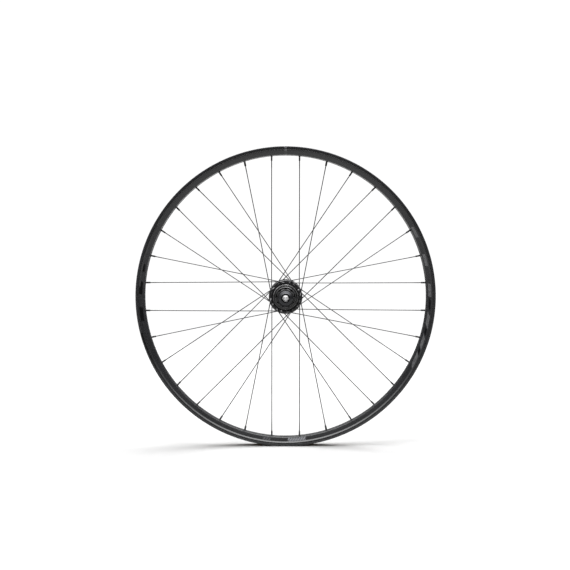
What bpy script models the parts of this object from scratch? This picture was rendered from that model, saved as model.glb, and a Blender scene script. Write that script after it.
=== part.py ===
"""Rear wheel of a mountain bike, without its tyre: 27.5 inch alloy rim, 32 crossed spokes, 148 mm disc hub.

The wheel turns about the Y axis through the origin, which is the middle of the rim. The drive side, with
the cassette freehub, is towards -Y, and +Z is up. Angles are measured in the XZ plane from +X towards +Z.
All sizes are in millimetres, and MM turns them into Blender's metres.
"""

import math

import bmesh
import bpy
from mathutils import Matrix, Vector

MM = 0.001
GAP = 0.3  # between pieces that touch on the real wheel

# Rim, ETRTO 584 x 30. A section is half of the outline, (radius, distance from the middle plane)
BEAD_SEAT_RADIUS = 292.0
RIM_BED_RADIUS = 280.0
RIM_SECTION = [
    (288.2, 6.5), (291.9, 9.6), (BEAD_SEAT_RADIUS, 14.6), (297.2, 14.9), (298.0, 15.5),
    (298.0, 17.2), (292.0, 17.5), (286.0, 15.2), (281.5, 11.8), (RIM_BED_RADIUS, 8.0),
]
RIM_CAVITY_SECTION = [(286.7, 7.0), (290.5, 10.1), (290.5, 14.9), (286.3, 13.7), (281.8, 7.4)]
VALVE_HOLE_RADIUS = 3.3
VALVE_SIDES = 8
VALVE_HOLE_REACH = (276.0, BEAD_SEAT_RADIUS)
VALVE_ANGLE = 270.0
TAPE_THICKNESS = 0.4
TAPE_HALF_WIDTH = 14.2
TAPE_CORNER_INSET = 0.55  # how far a corner moves inwards as the film's surface rises by 1 mm

# Spokes and nipples
SPOKES_PER_SIDE = 16
HUB_HOLE_CIRCLE_RADIUS = 29.0
HUB_HOLE_RADIUS = 1.4
FIRST_RIM_HOLE = {"drive": 5.625, "disc": 16.875}
CROSSING_SPREAD = 67.5  # angle at the hub between a spoke's rim hole and its hub hole
SPOKE_RADIUS = 1.0
SPOKE_THIN_RADIUS = 0.9
SPOKE_HEAD_RADIUS = 1.9
SPOKE_HEAD_HEIGHT = 1.0
ELBOW_RADIUS = 2.8
LACING_OFFSET = 1.05  # how far a spoke bends aside where it passes its last crossing
RIM_HOLE_OFFSET = 1.5  # rim holes stand this far towards their own flange
NIPPLE_SEAT_RADIUS = 282.6
NIPPLE_RADIUS = 2.0
NIPPLE_SHANK = 11.6
NIPPLE_HEAD_RADIUS = 3.0
NIPPLE_HEAD_HEIGHT = 2.4
NIPPLE_HEAD_CONE = 0.8
NIPPLE_HOLE_RADIUS = 2.7
NIPPLE_HOLE_REACH = (-8.0, 1.2)  # along the nipple from its seat
ACCESS_HOLE_RADIUS = 4.4
ACCESS_HOLE_REACH = (1.7, 9.0)

# Hub shell
FLANGE_Y = {"drive": -21.5, "disc": 36.5}
FLANGE_HALF_THICKNESS = 1.6
FLANGE_EDGE_HALF_THICKNESS = 1.2
FLANGE_RADIUS = 33.5
FLANGE_FLAT_RADIUS = 30.6
FLANGE_RING_RADIUS = 27.0
FLANGE_ROOT_RADIUS = 26.6
FLANGE_RECESS = 0.4  # how far the hub's end faces stand back from a flange's middle, inside its ring
BELL_RADIUS = 22.5
BELL_BORE_RADIUS = 19.3
BELL_MOUTH_Y = -31.2
BELL_FLOOR_Y = -22.2
BARREL_RADIUS = 15.0
BARREL_Y = (2.0, 18.5)
BARREL_SHOULDER_RADIUS = 16.5
BARREL_SHOULDER_Y = -10.0
BARREL_BORE_RADIUS = 12.0
DRIVE_SEAT_END_Y = -13.4
NECK_RADIUS = 18.5
ROTOR_SEAT_Y = 55.2
ROTOR_SEAT_RADIUS = 27.0
ROTOR_SEAT_THICKNESS = 6.2
ROTOR_PILOT_RADIUS = 17.4
ROTOR_PILOT_Y = 58.0
ROTOR_BOLT_CIRCLE_RADIUS = 22.0
ROTOR_BOLT_RADIUS = 2.2
ROTOR_BOLTS = 6
ROTOR_SCALLOP_RADIUS = 9.0
ROTOR_SCALLOP_CIRCLE_RADIUS = 32.5
ROTOR_SCALLOP_SIDES = 16
HUB_CUT_REACH = 1.0  # how far a hole's cutter stands out of the metal

# Axle and end caps, for a 12 mm thru axle in a 148 mm frame
AXLE_BORE_RADIUS = 6.3
AXLE_RADIUS = 8.5
AXLE_HALF_LENGTH = 68.5
CAP_FACE_Y = 74.0
CAP_RADIUS = 9.5
CAP_BORE_RADIUS = 6.1
CAP_CHAMFER = 0.3
DRIVE_SHIELD = [(9.5, 71.2), (10.6, 70.4), (14.4, 68.4), (14.4, 67.2), (10.0, 67.2)]  # (radius, distance out)
DISC_SHIELD = [(9.5, 61.9), (16.5, 60.1), (16.5, 58.9), (9.6, 58.9)]
CAP_NECK_RADIUS = {"drive": 9.9, "disc": 9.6}

# Bearings: (inner race outside, cage inside, cage outside, outer race inside, outer race outside)
AXLE_FIT_RADIUS = AXLE_RADIUS + GAP
SHELL_BEARING_RADII = (10.2, 10.5, 12.3, 12.6, 14.0)
FREEHUB_BEARING_RADII = (9.9, 10.2, 11.9, 12.2, 13.0)
BEARINGS = {
    "bearing_shell_drive": (-20.8, -13.8, SHELL_BEARING_RADII),
    "bearing_shell_disc": (50.0, 57.0, SHELL_BEARING_RADII),
    "bearing_freehub_inboard": (-38.0, -33.0, FREEHUB_BEARING_RADII),
    "bearing_freehub_outboard": (-66.3, -61.3, FREEHUB_BEARING_RADII),
}
SHELL_BEARING_SEAT_RADIUS = 14.3
SPACER_RADIUS = 10.5
THIN_SPACER_RADIUS = 9.5
CAGE_INSET = 0.6

# Freehub body, nine splines of the 34.9 mm road and mountain standard
SPLINES = 9
SPLINE_RADIUS = 17.45
SPLINE_GROOVE_RADIUS = 16.1
GROOVE_HALF_ANGLE = 8.5
WIDE_GROOVE_HALF_ANGLE = 13.0
WIDE_GROOVE = 8  # counted anticlockwise from the top
GROOVE_WALL_ANGLE = 1.0
FREEHUB_END_Y = -68.4
FREEHUB_MOUTH_RADIUS = 15.3
FREEHUB_MOUTH_FLOOR_Y = -66.6
FREEHUB_BORE_RADIUS = 13.5
FREEHUB_BORE_FLOOR_Y = -32.7
CASSETTE_STOP_Y = -33.5
CASSETTE_STOP_RADIUS = 20.5
SEAL_LAND_RADIUS = 17.3
CARRIER_RADIUS = 15.8
CARRIER_BORE_RADIUS = 9.8
CARRIER_START_Y = -28.7
CARRIER_END_Y = -23.0

# Ratchet: three pawls at 120 degrees that swing out together into a ring of 24 saw teeth.
# The pawls' sizes are given swung out. They are built folded in, as when a tooth passes over them
TEETH = 24
TOOTH_TIP_RADIUS = 16.2
TOOTH_ROOT_RADIUS = 17.25
TOOTH_FACE_ANGLE = 0.4
TOOTH_CLEARANCE_ANGLE = 2.2
RATCHET_OUTER_RADIUS = 19.0
RATCHET_Y = (-28.5, -22.5)
PAWL_ANGLES = (90.0, 210.0, 330.0)
PAWL_PIVOT_RADIUS = 12.9
PAWL_HEEL_RADIUS = 1.7
PAWL_LENGTH = 8.5
PAWL_TIP_HEIGHT = 1.59
PAWL_TIP_UNDERSIDE = -0.6
PAWL_FOLD_ANGLE = 9.0
PAWL_Y = (-28.2, -23.4)
POCKET_FLOOR = -2.4
POCKET_LENGTH = 9.4
POCKET_START_Y = -28.6
POCKET_END_Y = -22.0
SPRING_Y = -25.8
SPRING_RADIUS = 15.0
SPRING_WIRE_RADIUS = 0.35
SPRING_OPENING_ANGLE = 12.0
SPRING_OPENING_AT = 30.0
SPRING_GROOVE_FLOOR = 14.3
SPRING_GROOVE_HALF_WIDTH = 0.65
SEAL_LIP_SLOPE = 0.5
SEAL_LIP_LENGTH = 1.0

RIM_SEGMENTS = 64
HUB_SEGMENTS = 32
CAP_SEGMENTS = 24
RACE_SEGMENTS = 16
SPRING_GROOVE_SEGMENTS = 36
BAR_SIDES = 6
WIRE_SIDES = 4
SMOOTH_ANGLE = math.radians(35)

FINISHES = {
    # name: (base colour, roughness, metallic)
    "black_rim_alloy": ((0.012, 0.012, 0.013), 0.42, 0.75),
    "black_hub_alloy": ((0.016, 0.016, 0.018), 0.30, 0.85),
    "black_spoke_steel": ((0.020, 0.020, 0.022), 0.35, 0.80),
    "grey_alloy": ((0.11, 0.12, 0.14), 0.32, 0.90),
    "dark_steel": ((0.10, 0.10, 0.105), 0.38, 1.0),
    "bearing_steel": ((0.45, 0.45, 0.46), 0.22, 1.0),
    "seal_rubber": ((0.015, 0.015, 0.015), 0.70, 0.0),
    "rim_tape_film": ((0.42, 0.37, 0.22), 0.35, 0.0),
}


def clear_scene():
    for scene_object in list(bpy.data.objects):
        bpy.data.objects.remove(scene_object, do_unlink=True)


def make_finish(name):
    colour, roughness, metallic = FINISHES[name]
    finish = bpy.data.materials.new(name)
    finish.use_nodes = True
    shader = finish.node_tree.nodes["Principled BSDF"]
    shader.inputs["Base Color"].default_value = (*colour, 1.0)
    shader.inputs["Roughness"].default_value = roughness
    shader.inputs["Metallic"].default_value = metallic
    return finish


def make_axis(name, parent=None):
    axis = bpy.data.objects.new(name, None)
    axis.empty_display_type = "SINGLE_ARROW"
    axis.parent = parent
    bpy.context.scene.collection.objects.link(axis)
    return axis


def add_object(name, shape, finish=None, parent=None, place=Vector((0, 0, 0))):
    """Make an object of a bmesh that is in millimetres. Place is its origin, also in millimetres."""
    bmesh.ops.translate(shape, verts=shape.verts, vec=-place)
    bmesh.ops.scale(shape, verts=shape.verts, vec=(MM, MM, MM))
    bmesh.ops.recalc_face_normals(shape, faces=shape.faces)
    mesh = bpy.data.meshes.new(name)
    shape.to_mesh(mesh)
    shape.free()
    if finish:
        mesh.materials.append(bpy.data.materials[finish])
        mesh.shade_smooth()
        mesh.set_sharp_from_angle(angle=SMOOTH_ANGLE)
    made = bpy.data.objects.new(name, mesh)
    made.location = place * MM
    made.parent = parent
    bpy.context.scene.collection.objects.link(made)
    return made


def add_cutter(name, shape):
    cutter = add_object(name, shape)
    cutter.hide_render = True
    cutter.display_type = "WIRE"
    return cutter


def cut(target, cutter):
    boolean = target.modifiers.new(cutter.name, "BOOLEAN")
    boolean.operation = "DIFFERENCE"
    boolean.solver = "EXACT"
    boolean.object = cutter


def polar(radius, degrees, y=0.0):
    angle = math.radians(degrees)
    return Vector((radius * math.cos(angle), y, radius * math.sin(angle)))


def even_angles(count, first=0.0):
    return [first + 360.0 * i / count for i in range(count)]


def bridge(shape, loops, closed):
    """Join each loop of vertices to the next, and close the solid by joining or capping its ends."""
    pairs = list(zip(loops, loops[1:]))
    if closed:
        pairs.append((loops[-1], loops[0]))
    else:
        shape.faces.new(loops[0])
        shape.faces.new(list(reversed(loops[-1])))
    for loop, following in pairs:
        for i, vertex in enumerate(loop):
            j = (i + 1) % len(loop)
            shape.faces.new((vertex, loop[j], following[j], following[i]))


def turned(outline, angles):
    """Ring about the Y axis from a closed list of (radius, y). A radius may be a function of the angle."""
    shape = bmesh.new()
    loops = []
    for radius, y in outline:
        radius_at = radius if callable(radius) else lambda degrees, constant=radius: constant
        loops.append([shape.verts.new(polar(radius_at(degrees), degrees, y)) for degrees in angles])
    bridge(shape, loops, closed=True)
    return shape


def add_prism(shape, start, end, start_radius, end_radius, sides=BAR_SIDES):
    """Add a straight round bar between two points to a bmesh."""
    turn = (end - start).to_track_quat("Z", "Y")
    loops = []
    for centre, radius in ((start, start_radius), (end, end_radius)):
        corners = [turn @ Vector((p.x, p.z, 0)) for p in (polar(radius, a) for a in even_angles(sides))]
        loops.append([shape.verts.new(centre + corner) for corner in corners])
    bridge(shape, loops, closed=False)


def extruded(outline, y_start, y_end):
    """Prism of a closed outline of (x, z) points, along Y."""
    shape = bmesh.new()
    loops = [[shape.verts.new((x, y, z)) for x, z in outline] for y in (y_start, y_end)]
    bridge(shape, loops, closed=False)
    return shape


def rectangle(inner_radius, outer_radius, y_start, y_end):
    return [(inner_radius, y_start), (outer_radius, y_start), (outer_radius, y_end), (inner_radius, y_end)]


def mirrored(half):
    """Closed outline from its +Y half, given from one end on the middle plane to the other."""
    return half + [(radius, -y) for radius, y in reversed(half)]


# ---------------------------------------------------------------------------------------------- rim

def tape_section():
    """Film that lies in the tyre bed, one gap above it, from bead seat to bead seat."""
    def line(lift):
        inset = TAPE_CORNER_INSET * lift
        corners = [(radius + lift, y - inset) for radius, y in RIM_SECTION[:2]]
        return corners + [(BEAD_SEAT_RADIUS + lift, TAPE_HALF_WIDTH)]

    return line(GAP) + list(reversed(line(GAP + TAPE_THICKNESS)))


def build_rim(wheel, spokes):
    angles = even_angles(RIM_SEGMENTS, first=180.0 / RIM_SEGMENTS)
    rim = add_object("rim", turned(mirrored(RIM_SECTION), angles), "black_rim_alloy", wheel)
    cut(rim, add_cutter("rim_cavity_cutter", turned(mirrored(RIM_CAVITY_SECTION), angles)))

    holes = bmesh.new()
    for spoke in spokes:
        for radius, reach in (
            (NIPPLE_HOLE_RADIUS, NIPPLE_HOLE_REACH),
            (ACCESS_HOLE_RADIUS, ACCESS_HOLE_REACH),
        ):
            start, end = (spoke["seat"] + spoke["nipple_direction"] * distance for distance in reach)
            add_prism(holes, start, end, radius, radius)
    cut(rim, add_cutter("rim_hole_cutters", holes))
    tape = add_object("rim_tape", turned(mirrored(tape_section()), angles), "rim_tape_film", wheel)

    valve = bmesh.new()
    start, end = (polar(radius, VALVE_ANGLE) for radius in VALVE_HOLE_REACH)
    add_prism(valve, start, end, VALVE_HOLE_RADIUS, VALVE_HOLE_RADIUS, VALVE_SIDES)
    valve_cutter = add_cutter("valve_hole_cutter", valve)
    cut(rim, valve_cutter)
    cut(tape, valve_cutter)


# ------------------------------------------------------------------------------------------- spokes

def spoke_layout():
    """Where each spoke runs. Spokes lean to alternate sides, and their elbows change flange face to match."""
    spokes = []
    for side, outward in (("drive", -1), ("disc", 1)):
        for i in range(SPOKES_PER_SIDE):
            lean = 1 if i % 2 == 0 else -1
            elbow = -outward * lean
            rim_angle = FIRST_RIM_HOLE[side] + 360.0 * i / SPOKES_PER_SIDE
            hole = polar(HUB_HOLE_CIRCLE_RADIUS, rim_angle + lean * CROSSING_SPREAD)
            rim_point = polar(NIPPLE_SEAT_RADIUS, rim_angle)
            length = (rim_point - hole).length
            along = (rim_point - hole) / length

            flange_y, rim_y = FLANGE_Y[side], outward * RIM_HOLE_OFFSET
            bisector = polar(1.0, rim_angle + lean * 180.0 / SPOKES_PER_SIDE)
            crossing = -hole.cross(bisector).y / along.cross(bisector).y
            crossing_y = flange_y + (rim_y - flange_y) * crossing / length - elbow * LACING_OFFSET
            direction = Vector((along.x, (rim_y - crossing_y) / (length - crossing), along.z)).normalized()
            spokes.append({
                "name": f"spoke_{side}_{i + 1:02d}",
                "hole": hole,
                "along": along,
                "flange_y": flange_y,
                "elbow": elbow,
                "crossing": crossing,
                "crossing_y": crossing_y,
                "seat": rim_point + Vector((0, rim_y, 0)),
                "nipple_direction": direction,
            })
    return spokes


def spoke_stations(spoke):
    """(point, tangent, radius) along the spoke: head, elbow, crossing, nipple."""
    hole, along, elbow = spoke["hole"], spoke["along"], spoke["elbow"]
    through = Vector((0, elbow, 0))
    face = FLANGE_HALF_THICKNESS + GAP
    flange = hole + Vector((0, spoke["flange_y"], 0))
    stations = [
        (flange - through * (face + SPOKE_HEAD_HEIGHT), through, SPOKE_HEAD_RADIUS),
        (flange - through * face, through, SPOKE_HEAD_RADIUS),
        (flange - through * face, through, SPOKE_RADIUS),
    ]
    for bend in (0.0, math.radians(45), math.radians(90)):
        offset = along * ELBOW_RADIUS * (1 - math.cos(bend))
        offset += through * (face + ELBOW_RADIUS * math.sin(bend))
        stations.append((flange + offset, through * math.cos(bend) + along * math.sin(bend), SPOKE_RADIUS))
    crossing = hole + along * spoke["crossing"] + Vector((0, spoke["crossing_y"], 0))
    stations.append((crossing, along, SPOKE_THIN_RADIUS))

    seat, direction = spoke["seat"], spoke["nipple_direction"]
    for distance, radius in (
        (-NIPPLE_SHANK, SPOKE_THIN_RADIUS),
        (-NIPPLE_SHANK, NIPPLE_RADIUS),
        (0.0, NIPPLE_RADIUS),
        (NIPPLE_HEAD_CONE, NIPPLE_HEAD_RADIUS),
        (NIPPLE_HEAD_HEIGHT, NIPPLE_HEAD_RADIUS),
    ):
        stations.append((seat + direction * distance, direction, radius))
    return stations


def build_spoke(wheel, spoke):
    """A spoke with its nipple screwed on, as one solid."""
    shape = bmesh.new()
    sideways = spoke["along"].cross(Vector((0, 1, 0)))
    loops = []
    for point, tangent, radius in spoke_stations(spoke):
        upwards = tangent.cross(sideways)
        corners = [polar(radius, degrees) for degrees in even_angles(BAR_SIDES)]
        loops.append([shape.verts.new(point + sideways * c.x + upwards * c.z) for c in corners])
    bridge(shape, loops, closed=False)
    add_object(spoke["name"], shape, "black_spoke_steel", wheel)


# ---------------------------------------------------------------------------------------- hub shell

def flange_outline(side):
    """Outer face, edge and inner face of a spoke flange, in order of rising Y."""
    y = FLANGE_Y[side]
    low, high = y - FLANGE_HALF_THICKNESS, y + FLANGE_HALF_THICKNESS
    edge_low, edge_high = y - FLANGE_EDGE_HALF_THICKNESS, y + FLANGE_EDGE_HALF_THICKNESS
    return [
        (FLANGE_FLAT_RADIUS, low), (FLANGE_RADIUS, edge_low),
        (FLANGE_RADIUS, edge_high), (FLANGE_FLAT_RADIUS, high),
    ]


def hub_shell_outline():
    drive, disc = FLANGE_Y["drive"], FLANGE_Y["disc"]
    half, recess = FLANGE_HALF_THICKNESS, FLANGE_RECESS
    disc_bearing_start = BEARINGS["bearing_shell_disc"][0] - GAP
    return [
        (BELL_RADIUS, BELL_MOUTH_Y), (BELL_RADIUS, drive - recess),
        (FLANGE_ROOT_RADIUS, drive - recess), (FLANGE_RING_RADIUS, drive - half),
        *flange_outline("drive"),
        (FLANGE_ROOT_RADIUS, drive + half),
        (BARREL_SHOULDER_RADIUS, BARREL_SHOULDER_Y), *((BARREL_RADIUS, y) for y in BARREL_Y),
        (FLANGE_ROOT_RADIUS, disc - half),
        *flange_outline("disc"),
        (FLANGE_RING_RADIUS, disc + half), (FLANGE_ROOT_RADIUS, disc + recess),
        (NECK_RADIUS, disc + recess), (NECK_RADIUS, ROTOR_SEAT_Y - ROTOR_SEAT_THICKNESS),
        (ROTOR_SEAT_RADIUS, ROTOR_SEAT_Y - ROTOR_SEAT_THICKNESS), (ROTOR_SEAT_RADIUS, ROTOR_SEAT_Y),
        (ROTOR_PILOT_RADIUS, ROTOR_SEAT_Y), (ROTOR_PILOT_RADIUS, ROTOR_PILOT_Y),
        (SHELL_BEARING_SEAT_RADIUS, ROTOR_PILOT_Y), (SHELL_BEARING_SEAT_RADIUS, disc_bearing_start),
        (BARREL_BORE_RADIUS, disc_bearing_start), (BARREL_BORE_RADIUS, DRIVE_SEAT_END_Y),
        (SHELL_BEARING_SEAT_RADIUS, DRIVE_SEAT_END_Y), (SHELL_BEARING_SEAT_RADIUS, BELL_FLOOR_Y),
        (BELL_BORE_RADIUS, BELL_FLOOR_Y), (BELL_BORE_RADIUS, BELL_MOUTH_Y),
    ]


def build_hub_shell(wheel, spokes):
    body = turned(hub_shell_outline(), even_angles(HUB_SEGMENTS))
    hub = add_object("hub_shell", body, "black_hub_alloy", wheel)

    holes = bmesh.new()
    reach = Vector((0, FLANGE_HALF_THICKNESS + HUB_CUT_REACH, 0))
    for spoke in spokes:
        middle = spoke["hole"] + Vector((0, spoke["flange_y"], 0))
        add_prism(holes, middle - reach, middle + reach, HUB_HOLE_RADIUS, HUB_HOLE_RADIUS)
    cut(hub, add_cutter("spoke_hole_cutters", holes))

    seat = bmesh.new()
    front, back = ROTOR_SEAT_Y + HUB_CUT_REACH, ROTOR_SEAT_Y - ROTOR_SEAT_THICKNESS - HUB_CUT_REACH
    for i in range(ROTOR_BOLTS):
        bolt_angle = 360.0 * i / ROTOR_BOLTS
        scallop_angle = bolt_angle + 180.0 / ROTOR_BOLTS
        bolt = [polar(ROTOR_BOLT_CIRCLE_RADIUS, bolt_angle, y) for y in (front, back)]
        scallop = [polar(ROTOR_SCALLOP_CIRCLE_RADIUS, scallop_angle, y) for y in (front, back)]
        add_prism(seat, *bolt, ROTOR_BOLT_RADIUS, ROTOR_BOLT_RADIUS)
        add_prism(seat, *scallop, ROTOR_SCALLOP_RADIUS, ROTOR_SCALLOP_RADIUS, ROTOR_SCALLOP_SIDES)
    cut(hub, add_cutter("rotor_seat_cutters", seat))


# --------------------------------------------------------------------------------- axle and bearings

def cap_outline(shield, neck_radius, neck_end):
    """End cap from its face inwards: chamfered nose, dust shield, neck, and the socket for the axle."""
    socket_floor = AXLE_HALF_LENGTH + GAP
    return [
        (CAP_BORE_RADIUS, CAP_FACE_Y), (CAP_RADIUS - CAP_CHAMFER, CAP_FACE_Y),
        (CAP_RADIUS, CAP_FACE_Y - CAP_CHAMFER),
        *shield, (neck_radius, neck_end), (AXLE_FIT_RADIUS, neck_end),
        (AXLE_FIT_RADIUS, socket_floor), (CAP_BORE_RADIUS, socket_floor),
    ]


def build_axle(axle_axis):
    angles = even_angles(CAP_SEGMENTS)
    tube = rectangle(AXLE_BORE_RADIUS, AXLE_RADIUS, -AXLE_HALF_LENGTH, AXLE_HALF_LENGTH)
    add_object("axle", turned(tube, angles), "dark_steel", axle_axis)

    bearing_end = -BEARINGS["bearing_freehub_outboard"][0] + GAP
    drive_cap = cap_outline(DRIVE_SHIELD, CAP_NECK_RADIUS["drive"], bearing_end)
    drive_cap = [(radius, -y) for radius, y in drive_cap]
    add_object("end_cap_drive", turned(drive_cap, angles), "grey_alloy", axle_axis)

    bearing_end = BEARINGS["bearing_shell_disc"][1] + GAP
    disc_cap = cap_outline(DISC_SHIELD, CAP_NECK_RADIUS["disc"], bearing_end)
    add_object("end_cap_disc", turned(disc_cap, angles), "grey_alloy", axle_axis)

    spacers = {
        "freehub_spacer": (SPACER_RADIUS, "bearing_freehub_outboard", "bearing_freehub_inboard"),
        "ratchet_spacer": (THIN_SPACER_RADIUS, "bearing_freehub_inboard", "bearing_shell_drive"),
        "hub_spacer": (SPACER_RADIUS, "bearing_shell_drive", "bearing_shell_disc"),
    }
    for name, (radius, before, after) in spacers.items():
        sleeve = rectangle(AXLE_FIT_RADIUS, radius, BEARINGS[before][1] + GAP, BEARINGS[after][0] - GAP)
        add_object(name, turned(sleeve, even_angles(RACE_SEGMENTS)), "grey_alloy", axle_axis)


def build_bearings(axle_axis, outer_axes, cage_axes):
    for name, (start, end, radii) in BEARINGS.items():
        kind = "shell" if "shell" in name else "freehub"
        inner_outside, cage_inside, cage_outside, outer_inside, outer_outside = radii
        races = {
            "inner": (AXLE_FIT_RADIUS, inner_outside, 0.0, "bearing_steel", axle_axis),
            "cage": (cage_inside, cage_outside, CAGE_INSET, "seal_rubber", cage_axes[kind]),
            "outer": (outer_inside, outer_outside, 0.0, "bearing_steel", outer_axes[kind]),
        }
        for part, (inside, outside, inset, finish, axis) in races.items():
            ring = rectangle(inside, outside, start + inset, end - inset)
            add_object(f"{name}_{part}", turned(ring, even_angles(RACE_SEGMENTS)), finish, axis)


# ----------------------------------------------------------------------------------------- freehub

def groove_edges():
    """(angle, radius) around the splined body, in order of rising angle, four points to a groove."""
    edges = []
    for i in range(SPLINES):
        middle = 90.0 + 360.0 * i / SPLINES
        half = WIDE_GROOVE_HALF_ANGLE if i == WIDE_GROOVE else GROOVE_HALF_ANGLE
        edges += [
            (middle - half, SPLINE_RADIUS), (middle - half + GROOVE_WALL_ANGLE, SPLINE_GROOVE_RADIUS),
            (middle + half - GROOVE_WALL_ANGLE, SPLINE_GROOVE_RADIUS), (middle + half, SPLINE_RADIUS),
        ]
    return edges


def pawl_frame(degrees):
    """Pivot of a pawl, the direction its tip points in (clockwise from the drive side), and outwards."""
    outwards = polar(1.0, degrees)
    return outwards * PAWL_PIVOT_RADIUS, polar(1.0, degrees - 90.0), outwards


def heel_arc(radius, angles):
    return [(radius * math.cos(math.radians(a)), radius * math.sin(math.radians(a))) for a in angles]


def pawl_prism(degrees, outline, y_range):
    """Extrude an outline of (along the pawl, outwards) points at the place of one pawl."""
    pivot, along, outwards = pawl_frame(degrees)
    points = [pivot + along * a + outwards * h for a, h in outline]
    return extruded([(p.x, p.z) for p in points], *y_range)


def folded(shape, pivot):
    """Swing a shape round a pawl's pivot, from swung out to folded in."""
    turn = Matrix.Rotation(math.radians(PAWL_FOLD_ANGLE), 3, "Y")
    bmesh.ops.rotate(shape, verts=shape.verts, cent=pivot, matrix=turn)
    return shape


def spring_groove():
    """Ring of space for the pawls' spring."""
    outline = rectangle(
        SPRING_GROOVE_FLOOR, SEAL_LAND_RADIUS,
        SPRING_Y - SPRING_GROOVE_HALF_WIDTH, SPRING_Y + SPRING_GROOVE_HALF_WIDTH,
    )
    return turned(outline, even_angles(SPRING_GROOVE_SEGMENTS))


def build_freehub(freehub):
    edges = groove_edges()
    spline_radius = dict(edges)
    outline = [
        (spline_radius.get, FREEHUB_END_Y), (spline_radius.get, CASSETTE_STOP_Y),
        (CASSETTE_STOP_RADIUS, CASSETTE_STOP_Y), (CASSETTE_STOP_RADIUS, BELL_MOUTH_Y - GAP),
        (SEAL_LAND_RADIUS, BELL_MOUTH_Y - GAP), (SEAL_LAND_RADIUS, CARRIER_START_Y),
        (CARRIER_RADIUS, CARRIER_START_Y), (CARRIER_RADIUS, CARRIER_END_Y),
        (CARRIER_BORE_RADIUS, CARRIER_END_Y), (CARRIER_BORE_RADIUS, FREEHUB_BORE_FLOOR_Y),
        (FREEHUB_BORE_RADIUS, FREEHUB_BORE_FLOOR_Y), (FREEHUB_BORE_RADIUS, FREEHUB_MOUTH_FLOOR_Y),
        (FREEHUB_MOUTH_RADIUS, FREEHUB_MOUTH_FLOOR_Y), (FREEHUB_MOUTH_RADIUS, FREEHUB_END_Y),
    ]
    splined = turned(outline, [angle for angle, _ in edges])
    body = add_object("freehub_body", splined, "black_hub_alloy", freehub)

    socket = PAWL_HEEL_RADIUS + GAP
    outside = CARRIER_RADIUS
    pocket = [
        (socket * math.cos(math.radians(100)), outside), *heel_arc(socket, (100, 140, 180, 225, 270)),
        (socket, POCKET_FLOOR), (POCKET_LENGTH, POCKET_FLOOR), (POCKET_LENGTH, outside),
    ]
    for i, degrees in enumerate(PAWL_ANGLES):
        shape = pawl_prism(degrees, pocket, (POCKET_START_Y, POCKET_END_Y))
        cut(body, add_cutter(f"pawl_pocket_cutter_{i + 1}", shape))

    cut(body, add_cutter("pawl_spring_groove_cutter", spring_groove()))


def build_pawls(freehub):
    outline = [
        *heel_arc(PAWL_HEEL_RADIUS, (90, 135, 180, 225, 270)),
        (PAWL_LENGTH, PAWL_TIP_UNDERSIDE), (PAWL_LENGTH, PAWL_TIP_HEIGHT),
    ]
    for i, degrees in enumerate(PAWL_ANGLES):
        pivot, _, _ = pawl_frame(degrees)
        shape = folded(pawl_prism(degrees, outline, PAWL_Y), pivot)
        pawl = add_object(f"pawl_{i + 1}", shape, "dark_steel", freehub, pivot)
        cut(pawl, add_cutter(f"pawl_groove_cutter_{i + 1}", folded(spring_groove(), pivot)))


def build_pawl_spring(freehub):
    """Split ring of wire that lies round the carrier and pushes the pawls out."""
    shape = bmesh.new()
    start = SPRING_OPENING_AT + SPRING_OPENING_ANGLE / 2
    span = 360.0 - SPRING_OPENING_ANGLE
    loops = []
    for i in range(CAP_SEGMENTS + 1):
        degrees = start + span * i / CAP_SEGMENTS
        centre = polar(SPRING_RADIUS, degrees, SPRING_Y)
        corners = [polar(SPRING_WIRE_RADIUS, corner) for corner in even_angles(WIRE_SIDES)]
        loops.append([
            shape.verts.new(centre + polar(1.0, degrees) * c.x + Vector((0, c.z, 0))) for c in corners
        ])
    bridge(shape, loops, closed=False)
    add_object("pawl_spring", shape, "bearing_steel", freehub)


def build_ratchet_ring(wheel):
    """Saw teeth inside: seen from the drive side each one deepens clockwise and ends in a steep face."""
    tip_angle = PAWL_ANGLES[0] - math.degrees(math.atan2(PAWL_LENGTH, PAWL_PIVOT_RADIUS + PAWL_TIP_HEIGHT))
    first_face = tip_angle - TOOTH_CLEARANCE_ANGLE
    teeth = {}
    for face in even_angles(TEETH, first_face):
        teeth[face] = TOOTH_TIP_RADIUS
        teeth[face + TOOTH_FACE_ANGLE] = TOOTH_ROOT_RADIUS
    start, end = RATCHET_Y
    outer = RATCHET_OUTER_RADIUS
    outline = [(teeth.get, start), (outer, start), (outer, end), (teeth.get, end)]
    add_object("ratchet_ring", turned(outline, list(teeth)), "dark_steel", wheel)


def build_freehub_seal(wheel):
    """Lip seal pressed into the bell's mouth, round the freehub body."""
    lip = SEAL_LAND_RADIUS + GAP
    inner_end = RATCHET_Y[0] - GAP
    outline = [
        (lip, BELL_MOUTH_Y), (RATCHET_OUTER_RADIUS, BELL_MOUTH_Y),
        (RATCHET_OUTER_RADIUS, inner_end), (lip + SEAL_LIP_SLOPE, inner_end),
        (lip, BELL_MOUTH_Y + SEAL_LIP_LENGTH),
    ]
    add_object("freehub_seal", turned(outline, even_angles(CAP_SEGMENTS)), "seal_rubber", wheel)


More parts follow.
